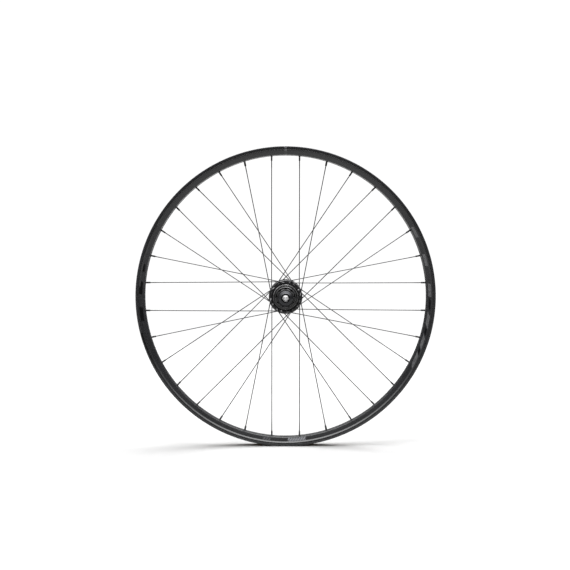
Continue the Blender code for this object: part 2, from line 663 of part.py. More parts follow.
def main():
    clear_scene()
    for name in FINISHES:
        make_finish(name)

    axle_axis = make_axis("axle_axis")
    wheel = make_axis("wheel_spin", axle_axis)
    freehub = make_axis("freehub_spin", axle_axis)
    cage_axes = {kind: make_axis(f"{kind}_cage_spin", axle_axis) for kind in ("shell", "freehub")}

    spokes = spoke_layout()
    build_rim(wheel, spokes)
    for spoke in spokes:
        build_spoke(wheel, spoke)
    build_hub_shell(wheel, spokes)
    build_axle(axle_axis)
    build_bearings(axle_axis, {"shell": wheel, "freehub": freehub}, cage_axes)
    build_freehub(freehub)
    build_pawls(freehub)
    build_pawl_spring(freehub)
    build_ratchet_ring(wheel)
    build_freehub_seal(wheel)


main()
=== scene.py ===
"""Looks of the bicycle rear wheel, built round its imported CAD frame.

Shapes and the masks of materials are worked out in millimetres. The wheel turns about Y, the drive side is
towards -Y, +Z is up, and angles run in the XZ plane from +X towards +Z.
"""

import math

import bmesh
import bpy
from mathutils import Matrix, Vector


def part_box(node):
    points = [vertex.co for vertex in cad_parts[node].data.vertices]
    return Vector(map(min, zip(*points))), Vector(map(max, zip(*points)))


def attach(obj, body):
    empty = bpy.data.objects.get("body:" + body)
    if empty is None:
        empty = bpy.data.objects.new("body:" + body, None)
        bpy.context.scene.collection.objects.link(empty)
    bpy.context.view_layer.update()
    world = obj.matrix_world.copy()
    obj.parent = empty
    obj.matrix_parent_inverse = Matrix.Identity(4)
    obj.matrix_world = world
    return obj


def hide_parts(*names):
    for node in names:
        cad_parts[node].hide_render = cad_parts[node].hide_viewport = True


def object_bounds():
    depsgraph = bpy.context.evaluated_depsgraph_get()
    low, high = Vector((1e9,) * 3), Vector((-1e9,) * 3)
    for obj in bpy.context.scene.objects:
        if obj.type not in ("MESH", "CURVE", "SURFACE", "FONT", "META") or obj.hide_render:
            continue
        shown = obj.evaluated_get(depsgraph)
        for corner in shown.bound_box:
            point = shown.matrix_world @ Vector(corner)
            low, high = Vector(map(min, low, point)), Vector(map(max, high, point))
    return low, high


MM = 0.001

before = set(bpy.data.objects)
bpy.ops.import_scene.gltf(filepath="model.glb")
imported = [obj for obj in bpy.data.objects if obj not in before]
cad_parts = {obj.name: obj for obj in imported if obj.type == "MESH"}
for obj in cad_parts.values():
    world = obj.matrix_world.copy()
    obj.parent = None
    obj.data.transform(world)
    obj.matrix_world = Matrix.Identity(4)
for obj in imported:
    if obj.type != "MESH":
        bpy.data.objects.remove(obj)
cad_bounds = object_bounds()


# ------------------------------------------------------------------------------------------ measures

def node_box(node):
    """Lowest and highest corner of a CAD node, in millimetres."""
    low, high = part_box(node)
    return low / MM, high / MM


def node_radius(node):
    """Outer radius of a CAD node that is turned about Y."""
    _, high = node_box(node)
    return max(high.x, high.z)


RIM_RADIUS = node_radius("rim")
RIM_HALF_WIDTH = node_box("rim")[1].y
RIM_SIDES = 256
BEAD_SEAT = RIM_RADIUS - 5.9
RIM_BED = RIM_RADIUS - 17.7
TAPE_CLEARANCE = 0.32
TAPE_THICKNESS = 0.22
VALVE_ANGLE = 270.0
VALVE_HOLE_RADIUS = 3.25
VALVE_SLIT_RADIUS = 3.0

SPOKES_PER_SIDE = 16
HUB_HOLE_CIRCLE = 29.0
HUB_HOLE_RADIUS = 1.3
FIRST_RIM_HOLE = {"drive": 5.625, "disc": 16.875}
CROSSING_SPREAD = 67.5  # angle at the hub between a spoke's rim hole and its hub hole
LACING_OFFSET = 1.05  # how far a spoke bends aside at its last crossing
CROSSING_BEND = 6.0  # how far from the crossing that bend begins
RIM_HOLE_OFFSET = 1.5  # rim holes stand this far towards their own flange
SPOKE_SIDES = 12
SPOKE_RADIUS = 1.0
SPOKE_THIN_RADIUS = 0.88
ELBOW_START = 1.9  # where the elbow begins, out from the flange's middle
ELBOW_RADIUS = 2.8

# Spoke head: (distance out from the flange's face, radius)
SPOKE_HEAD = (
    (1.02, 0.45), (1.0, 0.95), (0.9, 1.4), (0.68, 1.75), (0.42, 1.88), (0.18, 1.84), (0.04, 1.62),
    (-0.16, 1.2), (-0.42, SPOKE_RADIUS),
)

# Butted shaft: (distance from the elbow, radius) and (distance from the nipple's seat, radius)
HUB_END = ((4.0, SPOKE_RADIUS), (12.0, SPOKE_RADIUS), (20.0, SPOKE_THIN_RADIUS), (34.0, SPOKE_THIN_RADIUS))
RIM_END = ((90.0, SPOKE_THIN_RADIUS), (30.0, SPOKE_THIN_RADIUS), (22.0, SPOKE_RADIUS), (8.0, SPOKE_RADIUS))

# Nipple: (distance along the spoke from the seat, radius, whether wrench flats square it)
NIPPLE_SEAT = 282.6
NIPPLE_HALF_FLAT = 1.6
NIPPLE = (
    (-9.6, 1.02, False), (-11.35, 1.06, False), (-11.6, 1.28, False), (-11.62, 1.5, False),
    (-11.45, 1.72, True), (-11.1, 1.98, True), (-7.5, 2.0, True), (-3.6, 2.0, True),
    (-3.25, 1.98, False), (-3.0, 2.0, False), (-0.2, 2.0, False), (0.1, 2.15, False),
    (0.9, 3.0, False), (2.0, 3.0, False), (2.35, 2.7, False),
)
NIPPLE_HOLE_RADIUS = 2.55
ACCESS_HOLE_RADIUS = 4.2

FLANGE_Y = {"drive": -21.5, "disc": 36.5}
FLANGE_HALF_THICKNESS = 1.6
BARREL_RADIUS = 15.0
BARREL_BORE = 12.0
BEARING_SEAT = 14.3
BEARING_SHOULDER_Y = {"drive": -13.4, "disc": 49.7}
RATCHET_BORE = 19.3
RATCHET_SHOULDER_Y = -22.2
NECK_RADIUS = 18.5
ROTOR_SEAT_RADIUS = 27.0
ROTOR_SEAT_Y = (49.0, 55.2)
ROTOR_PILOT_RADIUS = 17.4
ROTOR_PILOT_END = 58.0
ROTOR_BOLT_CIRCLE = 22.0
ROTOR_BOLT_RADIUS = 2.3
ROTOR_SCALLOP_CIRCLE = 32.5
ROTOR_SCALLOP_RADIUS = 9.0

SPLINE_RIDGE = 17.45
SPLINE_GROOVE = 16.1
SPLINE_HALF_ANGLE = 8.5
WIDE_SPLINE_HALF_ANGLE = 13.0
RING_GROOVE = 16.2
STOP_RADIUS = 20.5
STOP_Y = -33.5
STOP_BACK_Y = -31.5
CARRIER_RADIUS = 15.8
CARRIER_START_Y = -28.7
FREEHUB_BORE = 9.8
FREEHUB_BEARING_SEAT = 13.5
FREEHUB_BEARING_Y = (-66.6, -32.7)
SHIELD_RECESS = 15.4
PAWL_CIRCLE = 12.9
PAWL_SOCKET = 2.0
PAWL_FLOOR = -2.4
PAWL_LENGTH = 9.4
PAWL_POCKET_Y = (-28.6, -22.0)
SPRING_GROOVE_RADII = (14.3, 17.8)
SPRING_GROOVE_Y = (-26.45, -25.15)

CAP_FACE = 74.0
CAP_RADIUS = 9.5
CAP_BORE = 6.1
CAP_COUNTERBORE = 8.8
AXLE_BORE = 6.3
AXLE_RADIUS = 8.5

# Print on the rim. A row is a side, the radii and the lean of its blocks, which is in degrees for each
# millimetre of radius, and the blocks, in degrees up and down from 3 o'clock (right) or 9 o'clock (left)
# These rows are print with a painted reflection: on the right the glossy black print is coloured pale, as
# if it caught a light
PRINT_WITH_PAINTED_REFLECTION = (
    ("right", 283.0, 288.8, 0.38, ((-28.7, -23.3), (-20.7, -15.7), (-12.0, -6.7))),
    ("right", 283.0, 288.8, 0.06, ((0.0, 5.3), (12.3, 17.3), (24.3, 29.0))),
)
BLACK_PRINT = (
    ("left", 283.8, 290.8, -0.06, ((10.0, 13.3), (1.0, 6.3), (-9.7, -4.0))),
    ("left", 288.8, 293.2, 0.0, ((17.3, 29.3),)),
    ("left", 292.6, 297.2, 0.0, ((-29.3, -14.0),)),
    ("right", 284.0, 288.0, 0.38, ((-23.0, -21.0), (-15.4, -12.3), (-5.0, -0.8))),
)
# Two patches of a label at the bottom: first and last x, and how strongly they are printed
LABEL_PATCHES = ((4.5, 40.0, 0.72), (-46.0, -30.0, 0.16))
LABEL_RADII = (281.8, 288.4)
GROOVE_PAINTED_SHADE_RADII = (291.1, 293.6)  # painted shade, reaching a little past the turned groove in the sidewall
LIP_WEAR_RADII = (296.6, 297.5)  # where the lip's wear sets in and where it is full

# Levels of the world's light, where white is 1
BACKDROP_LIGHT = 1.05
CEILING_LIGHT = 10.5
CEILING_STARTS = 0.25  # height at which the ceiling's light sets in, as a share of the way up
WINDOW_LIGHT = 1.6
LEFT_WALL_LIGHT = 0.22
WALL_LIGHT = 0.15
FILL_SHARE = 0.13  # share of that light that reaches surfaces which scatter it

FLOOR_SIZE = 4.4
# Lights: name, strength, width in degrees and direction
SUNS = (
    ("overhead_left", 3.2, 34.0, (0.95, 0.85, -1.0)),
    ("overhead_back", 4.5, 34.0, (-0.95, -0.70, -1.0)),
    ("behind", 3.5, 30.0, (-0.15, -1.0, -1.1)),
    ("overhead", 4.0, 40.0, (0.0, 0.02, -1.0)),
)
LENS = 79.3
CAMERA_PLACE = (-0.0012, -2.5, 0.135)
CAMERA_AIM = (-0.0012, 0.0, 0.0229)


# -------------------------------------------------------------------------------------- mesh helpers

def polar(radius, degrees, y=0.0):
    angle = math.radians(degrees)
    return Vector((radius * math.cos(angle), y, radius * math.sin(angle)))


def even_angles(count, first=0.0):
    return [first + 360.0 * i / count for i in range(count)]


def rounded(outline, steps=4):
    """Closed outline whose corners are curves. Each corner is (a, b) or (a, b, size of its curve)."""
    corners = [(Vector(corner[:2]), corner[2] if len(corner) > 2 else 0.0) for corner in outline]
    points = []
    for i, (corner, size) in enumerate(corners):
        if not size:
            points.append(corner)
            continue
        before, after = corners[i - 1][0], corners[(i + 1) % len(corners)][0]
        start = corner + (before - corner).normalized() * min(size, 0.45 * (before - corner).length)
        end = corner + (after - corner).normalized() * min(size, 0.45 * (after - corner).length)
        for k in range(steps + 1):
            t = k / steps
            points.append(start.lerp(corner, t).lerp(corner.lerp(end, t), t))
    return [(p.x, p.y) for p in points]


def mirrored(half):
    """Closed (radius, y) outline from its +Y half."""
    return half + [(corner[0], -corner[1], *corner[2:]) for corner in reversed(half)]


def bridge(shape, loops, closed):
    """Join loops of vertices in order, and then the last to the first or each end with a cap."""
    pairs = list(zip(loops, loops[1:]))
    if closed:
        pairs.append((loops[-1], loops[0]))
    else:
        shape.faces.new(loops[0])
        shape.faces.new(list(reversed(loops[-1])))
    for loop, following in pairs:
        for i, vertex in enumerate(loop):
            j = (i + 1) % len(loop)
            shape.faces.new((vertex, loop[j], following[j], following[i]))


def radius_at(radius, degrees):
    """A radius may be given as a function of the angle."""
    return radius(degrees) if callable(radius) else radius


def turned(outline, angles):
    """Ring about Y from a closed outline of (radius, y)."""
    shape = bmesh.new()
    loops = []
    for radius, y in outline:
        loops.append([shape.verts.new(polar(radius_at(radius, degrees), degrees, y)) for degrees in angles])
    bridge(shape, loops, closed=True)
    return shape


def add_loop(shape, centre, turn, radius, angles):
    """Add a loop of vertices round a centre, in the plane that turn gives, and return it."""
    loop = []
    for degrees in angles:
        across = polar(radius_at(radius, degrees), degrees)
        loop.append(shape.verts.new(centre + turn @ Vector((across.x, across.z, 0))))
    return loop


def add_bar(shape, start, end, radius, sides=24):
    """Add a straight round bar between two points."""
    turn = (end - start).to_track_quat("Z", "Y")
    loops = [add_loop(shape, centre, turn, radius, even_angles(sides)) for centre in (start, end)]
    bridge(shape, loops, closed=False)


def swept(stations, sides):
    """Round solid along (point, radius) stations."""
    shape = bmesh.new()
    points = [point for point, _ in stations]
    loops = []
    upwards = None
    for i, (point, radius) in enumerate(stations):
        before, after = points[max(i - 1, 0)], points[min(i + 1, len(points) - 1)]
        tangent = (after - before).normalized()
        if upwards is None:
            upwards = tangent.orthogonal().normalized()
        upwards = (upwards - tangent * upwards.dot(tangent)).normalized()
        sideways = tangent.cross(upwards)
        loop = []
        for degrees in even_angles(sides):
            across = polar(radius, degrees)
            loop.append(shape.verts.new(point + sideways * across.x + upwards * across.z))
        loops.append(loop)
    bridge(shape, loops, closed=False)
    return shape


def mesh_object(name, shape):
    """Object made of a bmesh in millimetres, which is used up."""
    bmesh.ops.scale(shape, verts=shape.verts, vec=(MM, MM, MM))
    bmesh.ops.recalc_face_normals(shape, faces=shape.faces)
    mesh = bpy.data.meshes.new(name)
    shape.to_mesh(mesh)
    shape.free()
    made = bpy.data.objects.new(name, mesh)
    bpy.context.scene.collection.objects.link(made)
    return made


def smooth(piece, angle):
    """Shade a piece smooth, except over edges sharper than an angle in degrees."""
    piece.data.shade_smooth()
    piece.data.set_sharp_from_angle(angle=math.radians(angle))


def add_piece(name, shape, material, body, nodes, smooth_angle=32.0):
    """Make a visible piece of a bmesh in millimetres. It moves with a CAD body and stands for CAD nodes."""
    piece = mesh_object(name, shape)
    piece.data.materials.append(material)
    smooth(piece, smooth_angle)
    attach(piece, body)
    if nodes:
        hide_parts(*nodes)
    return piece


def carve(target, cutters, smooth_angle=32.0):
    """Take cutter solids, bmeshes in millimetres, out of a piece for good."""
    for i, shape in enumerate(cutters):
        cutter = mesh_object(f"{target.name}_cutter_{i}", shape)
        boolean = target.modifiers.new("carve", "BOOLEAN")
        boolean.operation = "DIFFERENCE"
        boolean.solver = "EXACT"
        boolean.object = cutter
        bpy.context.view_layer.update()
        evaluated = target.evaluated_get(bpy.context.evaluated_depsgraph_get())
        result = bpy.data.meshes.new_from_object(evaluated)
        target.modifiers.remove(boolean)
        target.data = result
        bpy.data.objects.remove(cutter)
    smooth(target, smooth_angle)


# ---------------------------------------------------------------------------------------- materials

class Nodes:
    """Short names for the nodes of a material or a world."""

    def __init__(self, tree):
        self.tree = tree

    def node(self, kind, inputs=(), **settings):
        made = self.tree.nodes.new(kind)
        for setting, value in settings.items():
            setattr(made, setting, value)
        for socket, value in dict(inputs).items():
            self.feed(made.inputs[socket], value)
        return made

    def feed(self, socket, value):
        if isinstance(value, bpy.types.NodeSocket):
            self.tree.links.new(value, socket)
        elif socket.type == "RGBA":
            socket.default_value = (*value, 1.0)
        else:
            socket.default_value = value

    def math(self, operation, *values):
        made = self.node("ShaderNodeMath", dict(enumerate(values)), operation=operation)
        return made.outputs[0]

    def product(self, first, *others):
        for value in others:
            first = self.math("MULTIPLY", first, value)
        return first

    def span(self, value, low, high, start=0.0, end=1.0):
        """Value from low to high becomes start to end, smoothly, and stays there outside."""
        inputs = dict(enumerate((value, low, high, start, end)))
        return self.node("ShaderNodeMapRange", inputs, interpolation_type="SMOOTHSTEP").outputs[0]

    def band(self, value, low, high, soft):
        """1 between low and high and 0 outside, with edges that are soft on the inner side."""
        return self.product(self.span(value, low, low + soft), self.span(value, high, high - soft))

    def split(self, vector):
        return self.node("ShaderNodeSeparateXYZ", {"Vector": vector}).outputs


class Surface(Nodes):
    """A material under construction. Keywords name the shader's sockets, with _ for a space."""

    def __init__(self, name, **sockets):
        self.material = bpy.data.materials.new(name)
        self.material.use_nodes = True
        super().__init__(self.material.node_tree)
        self.shader = self.tree.nodes["Principled BSDF"]
        for socket, value in sockets.items():
            self.shader.inputs[socket.replace("_", " ")].default_value = value
        self.place = self.node("ShaderNodeTexCoord").outputs["Object"]

    def noise(self, scale, detail=3.0, roughness=0.55, place=None):
        inputs = {"Vector": place or self.place, "Scale": scale, "Detail": detail, "Roughness": roughness}
        return self.node("ShaderNodeTexNoise", inputs).outputs["Fac"]

    def stretched(self, x, y, z):
        """Place in the piece with each direction scaled, to draw a pattern out along one of them."""
        return self.node("ShaderNodeMapping", {"Vector": self.place, "Scale": (x, y, z)}).outputs[0]

    def split_place(self):
        """X, Y and Z in millimetres."""
        return self.split(self.stretched(1 / MM, 1 / MM, 1 / MM))

    def turned_place(self):
        """Distance from the Y axis in millimetres, angle about it in radians, and Y in millimetres."""
        x, y, z = self.split_place()
        radius = self.math("SQRT", self.math("ADD", self.product(x, x), self.product(z, z)))
        return radius, self.math("ARCTAN2", z, x), y

    def mix(self, factor, first, second):
        made = self.node("ShaderNodeMix", data_type="RGBA")
        self.feed(made.inputs["Factor"], factor)
        self.feed(made.inputs[6], first)
        self.feed(made.inputs[7], second)
        return made.outputs[2]

    def mottled(self, dark, light, scale, detail=4.0):
        """Cloudy change between two colours."""
        return self.mix(self.span(self.noise(scale, detail), 0.3, 0.7), dark, light)

    def colour(self, value):
        self.feed(self.shader.inputs["Base Color"], value)

    def roughness(self, value):
        self.feed(self.shader.inputs["Roughness"], value)

    def bump(self, *heights, strength=0.25, distance=0.00008):
        """Each height is laid over the ones before it."""
        normal = None
        for height in heights:
            inputs = {"Height": height, "Strength": strength, "Distance": distance}
            if normal:
                inputs["Normal"] = normal
            normal = self.node("ShaderNodeBump", inputs).outputs[0]
        self.feed(self.shader.inputs["Normal"], normal)


def printed_blocks(look, radius, rows):
    """Mask of the blocks in rows of print."""
    x, _, z = look.split_place()
    degrees = look.math("DEGREES", look.math("ARCTAN2", z, look.math("ABSOLUTE", x)))
    sides = {"right": look.span(x, 0.0, 1.0), "left": look.span(x, 0.0, -1.0)}
    mask = 0.0
    for side, inner, outer, lean, blocks in rows:
        off_middle = look.math("SUBTRACT", radius, 0.5 * (inner + outer))
        leaning = look.math("ADD", degrees, look.product(off_middle, lean))
        marks = 0.0
        for first, last in blocks:
            off_centre = look.math("ABSOLUTE", look.math("SUBTRACT", leaning, 0.5 * (first + last)))
            half_width = 0.5 * (last - first)
            marks = look.math("ADD", marks, look.span(off_centre, half_width + 0.1, half_width - 0.2))
        printed = look.product(marks, look.band(radius, inner, outer, 0.3), sides[side])
        mask = look.math("MAXIMUM", mask, printed)
    return mask


def labelled(look, base, radius, x, z):
    """The base colour with rows of slanted ticks printed over it in the label's patches."""
    at_bottom = look.product(look.band(radius, *LABEL_RADII, 0.4), look.span(z, -200.0, -250.0))
    ticks = look.math("FRACT", look.math("ADD", look.product(x, 0.19), look.product(radius, 0.15)))
    rows = look.math("FRACT", look.product(radius, 0.3))
    ticks = look.product(look.span(ticks, 0.36, 0.46), look.span(rows, 0.10, 0.30, 0.25, 1.0))
    for first, last, strength in LABEL_PATCHES:
        patch = look.product(look.band(x, first, last, 0.4), at_bottom, strength)
        base = look.mix(look.product(patch, 0.15), base, (0.20, 0.205, 0.225))
        base = look.mix(look.product(patch, ticks), base, (0.26, 0.265, 0.285))
    return base


def rim_finish():
    """Satin black anodised alloy with print, which has a painted reflection on the right, painted shade in
    the sidewall's groove, a joint at the top and a lip that tyre levers have worn.
    """
    look = Surface("satin_black_rim")
    radius, _, y = look.turned_place()
    x, _, z = look.split_place()
    grain = look.noise(1400.0, 2.0)
    scuff = look.noise(260.0, 5.0, 0.7)

    base = look.mottled((0.0042, 0.0043, 0.0048), (0.0080, 0.0082, 0.0092), 9.0)
    base = look.mix(look.product(look.span(grain, 0.45, 0.8), 0.35), base, (0.019, 0.0195, 0.0215))
    # Painted reflection: the print on the right is coloured pale, unevenly, where its gloss would catch a
    # light
    rubbed = look.span(scuff, 0.35, 0.65, 0.55, 1.0)
    painted_print_reflection = look.product(printed_blocks(look, radius, PRINT_WITH_PAINTED_REFLECTION), rubbed)
    base = look.mix(painted_print_reflection, base, (0.068, 0.068, 0.070))
    black = printed_blocks(look, radius, BLACK_PRINT)
    base = look.mix(black, base, (0.0008, 0.0008, 0.0010))
    base = labelled(look, base, radius, x, z)

    lip = look.product(look.span(radius, *LIP_WEAR_RADII), look.span(scuff, 0.42, 0.62))
    base = look.mix(look.product(lip, 0.75), base, (0.13, 0.13, 0.135))
    at_top = look.span(z, 200.0, 250.0)
    beside = look.math("ABSOLUTE", x)
    # A paler patch either side of the seam at the top, fullest from 288.5 mm outwards
    joint = look.product(look.span(beside, 3.0, 1.6), at_top, look.span(radius, 287.5, 288.5, 0.25, 1.0))
    base = look.mix(joint, base, (0.085, 0.086, 0.090))
    seam = look.product(look.span(beside, 0.28, 0.10), at_top)
    base = look.mix(seam, base, (0.003, 0.003, 0.003))
    # Painted shade in the sidewall's turned groove: its colour is taken nearly to black
    on_wall = look.span(look.math("ABSOLUTE", y), 17.3, 17.0)
    groove = look.product(look.band(radius, *GROOVE_PAINTED_SHADE_RADII, 0.4), on_wall)
    base = look.mix(look.product(groove, 0.9), base, (0.001, 0.001, 0.001))
    look.colour(base)

    rough = look.math("SUBTRACT", look.span(scuff, 0.25, 0.75, 0.22, 0.32), look.product(black, 0.22))
    rough = look.math("ADD", rough, look.product(lip, 0.12))
    look.roughness(look.math("ADD", rough, look.product(groove, 0.4)))
    plain = look.math("SUBTRACT", 1.0, black)
    look.bump(look.product(grain, plain), look.math("SUBTRACT", 1.0, seam), strength=0.22)
    return look.material


def turned_alloy(name, dark, light, roughness=0.30, metallic=0.0, worn=0.35, painted_shade_and_dark_bands=(), painted_groove_shadows=(), edges=()):
    """Anodised alloy turned on a lathe: fine rings about Y, colour that varies a little, rubbed patches,
    and painted highlights on edge rings.

    Rows of painted shade in a recess, and of dark bands, are (radius that it stays inside, front y, back
    y). Rows of painted shadow down the grooves, nine dark marks round the axis, and rows of painted
    highlight in patches on an edge ring, are (inner radius, outer radius, back y).
    """
    look = Surface(name, Metallic=metallic)
    radius, angle, y = look.turned_place()
    profile = look.math("ADD", radius, look.product(y, 0.83))
    ring_place = look.node("ShaderNodeCombineXYZ", {"X": profile, "Y": look.product(angle, 0.6)}).outputs[0]
    rings = look.noise(5.2, 2.0, 0.6, ring_place)
    scuff = look.noise(420.0, 5.0, 0.7)
    brighter = tuple(min(1.0, c * 3.0 + 0.004) for c in light)
    base = look.mottled(dark, light, 38.0)
    base = look.mix(look.product(look.span(scuff, 0.56, 0.74), worn), base, brighter)
    base = look.mix(look.product(look.span(rings, 0.5, 0.8), 0.3), base, brighter)
    # Painted shade in a recess, and a dark band on a face: each row is taken nearly to black
    for outer, front, back in painted_shade_and_dark_bands:
        depth = look.product(look.span(y, front, front + 0.6), look.span(y, back, back - 0.4))
        spread = look.product(look.span(radius, outer, outer - 0.4), depth)
        base = look.mix(look.product(spread, 0.92), base, (0.002, 0.002, 0.002))
    # Painted shadow down the spline grooves: nine near-black marks round the axis
    for inner, outer, back in painted_groove_shadows:
        ring = look.product(look.span(radius, inner, inner + 0.2), look.span(radius, outer, outer - 0.3))
        wave = look.span(look.math("SINE", look.product(angle, 9.0)), 0.05, 0.35)
        painted_groove_shadow = look.product(ring, wave, look.span(y, back, back - 0.4))
        base = look.mix(painted_groove_shadow, base, (0.0006, 0.0006, 0.0006))
    # Painted highlight: patches of an edge ring are coloured pale, as glints
    patches = look.span(look.noise(70.0), 0.40, 0.60, 0.15, 0.85)
    for inner, outer, back in edges:
        edge = look.product(look.band(radius, inner, outer, 0.12), look.span(y, back, back - 0.2))
        base = look.mix(look.product(edge, patches), base, (0.12, 0.12, 0.122))
    look.colour(base)
    rough = look.span(scuff, 0.3, 0.75, roughness - 0.06, roughness + 0.10)
    look.roughness(look.math("ADD", rough, look.product(rings, 0.06)))
    look.bump(rings, look.noise(1800.0, 2.0), strength=0.14, distance=0.00005)
    return look.material


def coated_wire():
    """Black coated spoke steel with rubbed specks, and painted glints in patches on the heads and elbows by
    the hub.
    """
    look = Surface("black_coated_wire")
    speck = look.noise(900.0, 4.0, 0.7)
    base = look.mottled((0.0070, 0.0070, 0.0078), (0.0135, 0.0135, 0.0150), 55.0, 3.0)
    base = look.mix(look.product(look.span(speck, 0.62, 0.72), 0.6), base, (0.085, 0.085, 0.088))
    radius, _, _ = look.turned_place()
    # Painted highlight: patches of the heads and elbows near the hub are coloured pale, as glints
    head = look.product(look.span(radius, 30.8, 30.2), look.span(look.noise(150.0, 2.0), 0.46, 0.54))
    base = look.mix(look.product(head, 0.8), base, (0.24, 0.24, 0.245))
    look.colour(base)
    look.roughness(look.span(speck, 0.3, 0.7, 0.22, 0.36))
    look.bump(speck, strength=0.12, distance=0.00004)
    return look.material


def bare_steel(name, tone, roughness):
    """Ground steel with fine directional scratches and a little staining."""
    look = Surface(name, Metallic=1.0)
    scratch = look.noise(1500.0, 3.0, 0.6, look.stretched(1.0, 0.06, 1.0))
    stained = tuple(c * 0.62 for c in tone)
    scratched = tuple(min(1.0, c * 1.3) for c in tone)
    base = look.mix(look.span(look.noise(60.0, 4.0), 0.35, 0.7), tone, stained)
    look.colour(look.mix(look.product(look.span(scratch, 0.55, 0.75), 0.35), base, scratched))
    look.roughness(look.span(scratch, 0.3, 0.7, roughness - 0.07, roughness + 0.12))
    look.bump(scratch, strength=0.15, distance=0.00004)
    return look.material


def black_rubber():
    """Moulded seal rubber: matt, slightly dusty and finely textured."""
    look = Surface("black_seal_rubber", Specular_IOR_Level=0.4)
    dust = look.noise(240.0, 5.0, 0.7)
    look.colour(look.mix(look.span(dust, 0.45, 0.75), (0.006, 0.006, 0.006), (0.018, 0.017, 0.016)))
    look.roughness(look.span(dust, 0.3, 0.7, 0.62, 0.82))
    look.bump(look.noise(2600.0, 2.0), strength=0.3, distance=0.00006)
    return look.material


def tape_film():
    """Amber polyester tape pressed into the rim: glossy, with faint creases across it."""
    look = Surface("amber_tape_film", Coat_Weight=0.25)
    _, angle, y = look.turned_place()
    along = look.node("ShaderNodeCombineXYZ", {"X": look.product(angle, 290.0), "Y": look.product(y, 0.12)})
    crease = look.noise(0.52, 4.0, 0.65, along.outputs[0])
    base = look.mottled((0.20, 0.125, 0.028), (0.27, 0.175, 0.045), 22.0)
    look.colour(look.mix(look.product(look.span(crease, 0.56, 0.7), 0.5), base, (0.36, 0.26, 0.09)))
    look.roughness(look.span(crease, 0.3, 0.7, 0.22, 0.42))
    look.bump(crease, strength=0.35, distance=0.00012)
    return look.material


# ------------------------------------------------------------------------------------------- spokes

def spoke_layout():
    """Where each spoke runs: from its flange by its last crossing, where it bends, to its nipple's seat."""
    spokes = []
    for side, outward in (("drive", -1), ("disc", 1)):
        for i in range(SPOKES_PER_SIDE):
            lean = 1 if i % 2 == 0 else -1
            elbow = -outward * lean
            rim_angle = FIRST_RIM_HOLE[side] + 360.0 * i / SPOKES_PER_SIDE
            hole = polar(HUB_HOLE_CIRCLE, rim_angle + lean * CROSSING_SPREAD)
            rim_point = polar(NIPPLE_SEAT, rim_angle)
            length = (rim_point - hole).length
            along = (rim_point - hole) / length
            flange_y, rim_y = FLANGE_Y[side], outward * RIM_HOLE_OFFSET
            bisector = polar(1.0, rim_angle + lean * 180.0 / SPOKES_PER_SIDE)
            crossing = -hole.cross(bisector).y / along.cross(bisector).y
            crossing_y = flange_y + (rim_y - flange_y) * crossing / length - elbow * LACING_OFFSET
            direction = Vector((along.x, (rim_y - crossing_y) / (length - crossing), along.z)).normalized()
            spokes.append({
                "name": f"{side}_{i + 1:02d}",
                "node": f"spoke_{side}_{i + 1:02d}",
                "flange": hole + Vector((0, flange_y, 0)),
                "elbow": elbow,
                "along": along,
                "crossing": hole + along * crossing + Vector((0, crossing_y, 0)),
                "seat": rim_point + Vector((0, rim_y, 0)),
                "direction": direction,
            })
    return spokes


def head_and_elbow(spoke):
    """Stations of the forged head, the neck in the flange's hole and the elbow."""
    flange, along = spoke["flange"], spoke["along"]
    through = Vector((0, spoke["elbow"], 0))
    face = FLANGE_HALF_THICKNESS + 0.06
    stations = [(flange - through * (face + distance), radius) for distance, radius in SPOKE_HEAD]
    stations.append((flange, SPOKE_RADIUS))
    for bend in range(0, 91, 10):
        angle = math.radians(bend)
        offset = along * (ELBOW_RADIUS * (1 - math.cos(angle)))
        offset += through * (ELBOW_START + ELBOW_RADIUS * math.sin(angle))
        stations.append((flange + offset, SPOKE_RADIUS))
    return stations


def build_spoke(spoke, material):
    """Head, elbow and a shaft that swells to full gauge at both ends and bends at its last crossing."""
    stations = head_and_elbow(spoke)
    start = stations[-1][0]
    crossing, seat = spoke["crossing"], spoke["seat"]
    before = (crossing - start).normalized()
    after = (seat - crossing).normalized()
    entry, leave = crossing - before * CROSSING_BEND, crossing + after * CROSSING_BEND
    for distance, radius in HUB_END:
        if distance < (crossing - start).length - CROSSING_BEND - 3.0:
            stations.append((start + before * distance, radius))
    for k in range(7):
        t = k / 6
        point = entry.lerp(crossing, t).lerp(crossing.lerp(leave, t), t)
        stations.append((point, SPOKE_THIN_RADIUS))
    for distance, radius in RIM_END:
        stations.append((seat - spoke["direction"] * distance, radius))
    shape = swept(stations, SPOKE_SIDES)
    add_piece(f"wire_{spoke['name']}", shape, material, "wheel", [spoke["node"]], 40.0)


def build_nipple(spoke, material):
    """Countersunk mouth, squared shank with wrench flats, round collar and a coned head."""
    shape = bmesh.new()
    turn = spoke["direction"].to_track_quat("Z", "Y")
    loops = []
    for distance, radius, squared in NIPPLE:
        def flattened(degrees):
            angle = math.radians(degrees)
            return min(radius, NIPPLE_HALF_FLAT / max(abs(math.cos(angle)), abs(math.sin(angle))))

        centre = spoke["seat"] + spoke["direction"] * distance
        outline = flattened if squared else radius
        loops.append(add_loop(shape, centre, turn, outline, even_angles(24, 7.5)))
    bridge(shape, loops, closed=False)
    add_piece(f"nipple_{spoke['name']}", shape, material, "wheel", (), 28.0)


# ---------------------------------------------------------------------------------------------- rim

